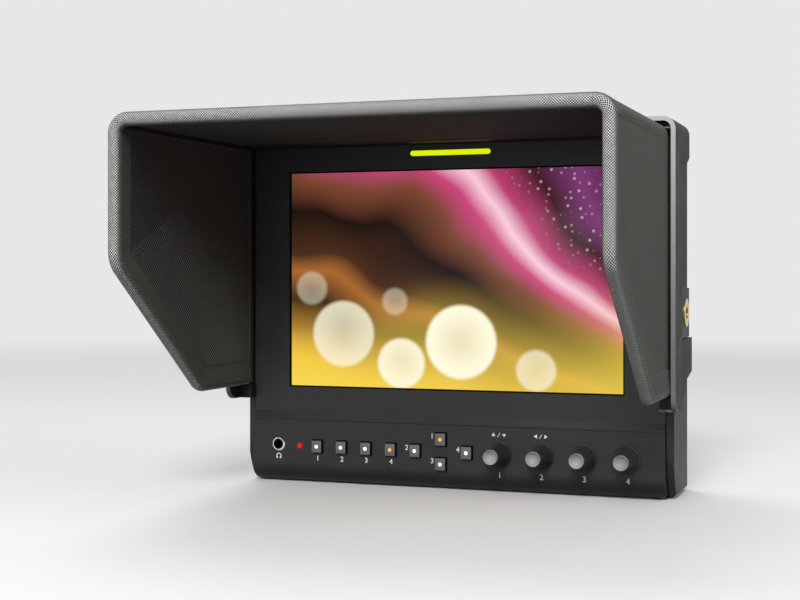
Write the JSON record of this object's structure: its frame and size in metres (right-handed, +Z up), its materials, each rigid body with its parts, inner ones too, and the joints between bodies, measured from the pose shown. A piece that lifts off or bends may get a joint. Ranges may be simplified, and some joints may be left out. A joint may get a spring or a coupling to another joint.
{
  "type": "camera field monitor with sun hood",
  "caption": "Flat camera monitor with a control strip below its screen and a stiff cloth sun hood whose lid and sides fold flat over the screen.",
  "frame": {"origin": "mouth of the tripod socket in the base, on its axis", "axes": "+X right as the screen is read, +Z up out of the casing's top, the screen faces -Y"},
  "size_m": [0.1976, 0.1585, 0.1552],
  "materials": {
    "casing_front": "fine matte charcoal moulding",
    "casing_rear": "fine matte charcoal moulding",
    "window_glass": "clear hard-coated cover over the lit picture",
    "display": "lit abstract picture",
    "backlight": "white reflector",
    "steel": "bare steel",
    "black_steel": "blackened steel",
    "ribbon_film": "amber polyimide film",
    "circuit_board": "green solder mask",
    "chip_plastic": "black moulded parts",
    "black_plastic": "black moulding",
    "white_plastic": "white insulator",
    "chrome": "polished chrome",
    "nickel": "satin nickel",
    "brass": "turned brass",
    "red_lens": "lit red lamp",
    "tally_lens": "lit yellow-green bar",
    "bracket_paint": "fine charcoal powder coat",
    "rocker_plastic": "dark red rocker",
    "hood_cloth": "dark grey woven cloth on board",
    "hood_binding": "grey twill binding",
    "key_plastic": "grey key with a lit dot",
    "knob_rubber": "ribbed grip with a grey cap"
  },
  "bodies": {
    "monitor": {"front_shell": "casing_front", "rear_shell": "casing_rear", "screen_window": "window_glass", "lcd_panel": "display", "backlight_unit": "backlight", "panel_chassis": "steel", "panel_ribbon": "ribbon_film", "main_board": "circuit_board", "board_parts": "chip_plastic", "control_board": "circuit_board", "button_switches": "chip_plastic", "encoder_bodies": "steel", "jack_body": "black_plastic", "jack_ring": "chrome", "power_lamp": "red_lens", "tally_lens": "tally_lens", "tally_board": "circuit_board", "hood_bracket": "bracket_paint", "bracket_screws": "black_steel", "hinge_rail": "black_plastic", "side_hinge_pins": "steel", "lid_rod": "steel", "side_inserts": "brass", "base_insert": "brass", "plate_inserts": "brass", "speaker": "black_plastic", "case_screws": "black_steel", "coax_shells": "nickel", "coax_cores": "white_plastic", "hdmi_socket": "nickel", "dc_socket": "black_plastic", "switch_housing": "black_plastic"},
    "hood_lid": {"lid_panel": "hood_cloth", "lid_bead": "hood_binding", "lid_hinge": "black_plastic"},
    "hood_left": {"left_panel": "hood_cloth", "left_bead": "hood_binding", "left_hinge": "black_plastic", "left_corner": "hood_binding"},
    "hood_right": {"right_panel": "hood_cloth", "right_bead": "hood_binding", "right_hinge": "black_plastic", "right_corner": "hood_binding"},
    "rocker": {"power_rocker": "rocker_plastic"},
    "source_key_1": {"source_button_1": "key_plastic"},
    "function_key_1": {"function_button_1": "key_plastic"},
    "dial_1": {"knob_1": "knob_rubber", "knob_shaft_1": "steel"},
    "source_key_2": {"source_button_2": "key_plastic"},
    "function_key_2": {"function_button_2": "key_plastic"},
    "dial_2": {"knob_2": "knob_rubber", "knob_shaft_2": "steel"},
    "source_key_3": {"source_button_3": "key_plastic"},
    "function_key_3": {"function_button_3": "key_plastic"},
    "dial_3": {"knob_3": "knob_rubber", "knob_shaft_3": "steel"},
    "source_key_4": {"source_button_4": "key_plastic"},
    "function_key_4": {"function_button_4": "key_plastic"},
    "dial_4": {"knob_4": "knob_rubber", "knob_shaft_4": "steel"}
  },
  "joints": [
    {"name": "lid_fold", "type": "hinge", "parent": "monitor", "child": "hood_lid", "pos_m": [0, -0.029, 0.15045], "axis": [1, 0, 0], "range_deg": [0, 90]},
    {"name": "left_fold", "type": "hinge", "parent": "monitor", "child": "hood_left", "pos_m": [-0.09395, -0.018, 0.096], "axis": [0, 0, 1], "range_deg": [0, 90], "deforming": ["left_corner"]},
    {"name": "right_fold", "type": "hinge", "parent": "monitor", "child": "hood_right", "pos_m": [0.09395, -0.0235, 0.096], "axis": [0, 0, -1], "range_deg": [0, 90], "deforming": ["right_corner"]},
    {"name": "power_tip", "type": "hinge", "parent": "monitor", "child": "rocker", "pos_m": [-0.069, 0.0034, 0.0285], "axis": [1, 0, 0], "range_deg": [0, 20]},
    {"name": "source_press_1", "type": "slide", "parent": "monitor", "child": "source_key_1", "axis": [0, 1, 0], "range_m": [0, 0.0006], "stiffness_N_per_m": 2000, "springref_m": -0.0002},
    {"name": "source_press_2", "type": "slide", "parent": "monitor", "child": "source_key_2", "axis": [0, 1, 0], "range_m": [0, 0.0006], "stiffness_N_per_m": 2000, "springref_m": -0.0002},
    {"name": "source_press_3", "type": "slide", "parent": "monitor", "child": "source_key_3", "axis": [0, 1, 0], "range_m": [0, 0.0006], "stiffness_N_per_m": 2000, "springref_m": -0.0002},
    {"name": "source_press_4", "type": "slide", "parent": "monitor", "child": "source_key_4", "axis": [0, 1, 0], "range_m": [0, 0.0006], "stiffness_N_per_m": 2000, "springref_m": -0.0002},
    {"name": "function_press_1", "type": "slide", "parent": "monitor", "child": "function_key_1", "axis": [0, 1, 0], "range_m": [0, 0.0006], "stiffness_N_per_m": 2000, "springref_m": -0.0002},
    {"name": "function_press_2", "type": "slide", "parent": "monitor", "child": "function_key_2", "axis": [0, 1, 0], "range_m": [0, 0.0006], "stiffness_N_per_m": 2000, "springref_m": -0.0002},
    {"name": "function_press_3", "type": "slide", "parent": "monitor", "child": "function_key_3", "axis": [0, 1, 0], "range_m": [0, 0.0006], "stiffness_N_per_m": 2000, "springref_m": -0.0002},
    {"name": "function_press_4", "type": "slide", "parent": "monitor", "child": "function_key_4", "axis": [0, 1, 0], "range_m": [0, 0.0006], "stiffness_N_per_m": 2000, "springref_m": -0.0002},
    {"name": "dial_turn_1", "type": "hinge", "parent": "monitor", "child": "dial_1", "pos_m": [0.0219, -0.023, 0.0163], "axis": [0, -1, 0], "continuous": true},
    {"name": "dial_turn_2", "type": "hinge", "parent": "monitor", "child": "dial_2", "pos_m": [0.0401, -0.023, 0.0163], "axis": [0, -1, 0], "continuous": true},
    {"name": "dial_turn_3", "type": "hinge", "parent": "monitor", "child": "dial_3", "pos_m": [0.0583, -0.023, 0.0163], "axis": [0, -1, 0], "continuous": true},
    {"name": "dial_turn_4", "type": "hinge", "parent": "monitor", "child": "dial_4", "pos_m": [0.0765, -0.023, 0.0163], "axis": [0, -1, 0], "continuous": true}
  ]
}
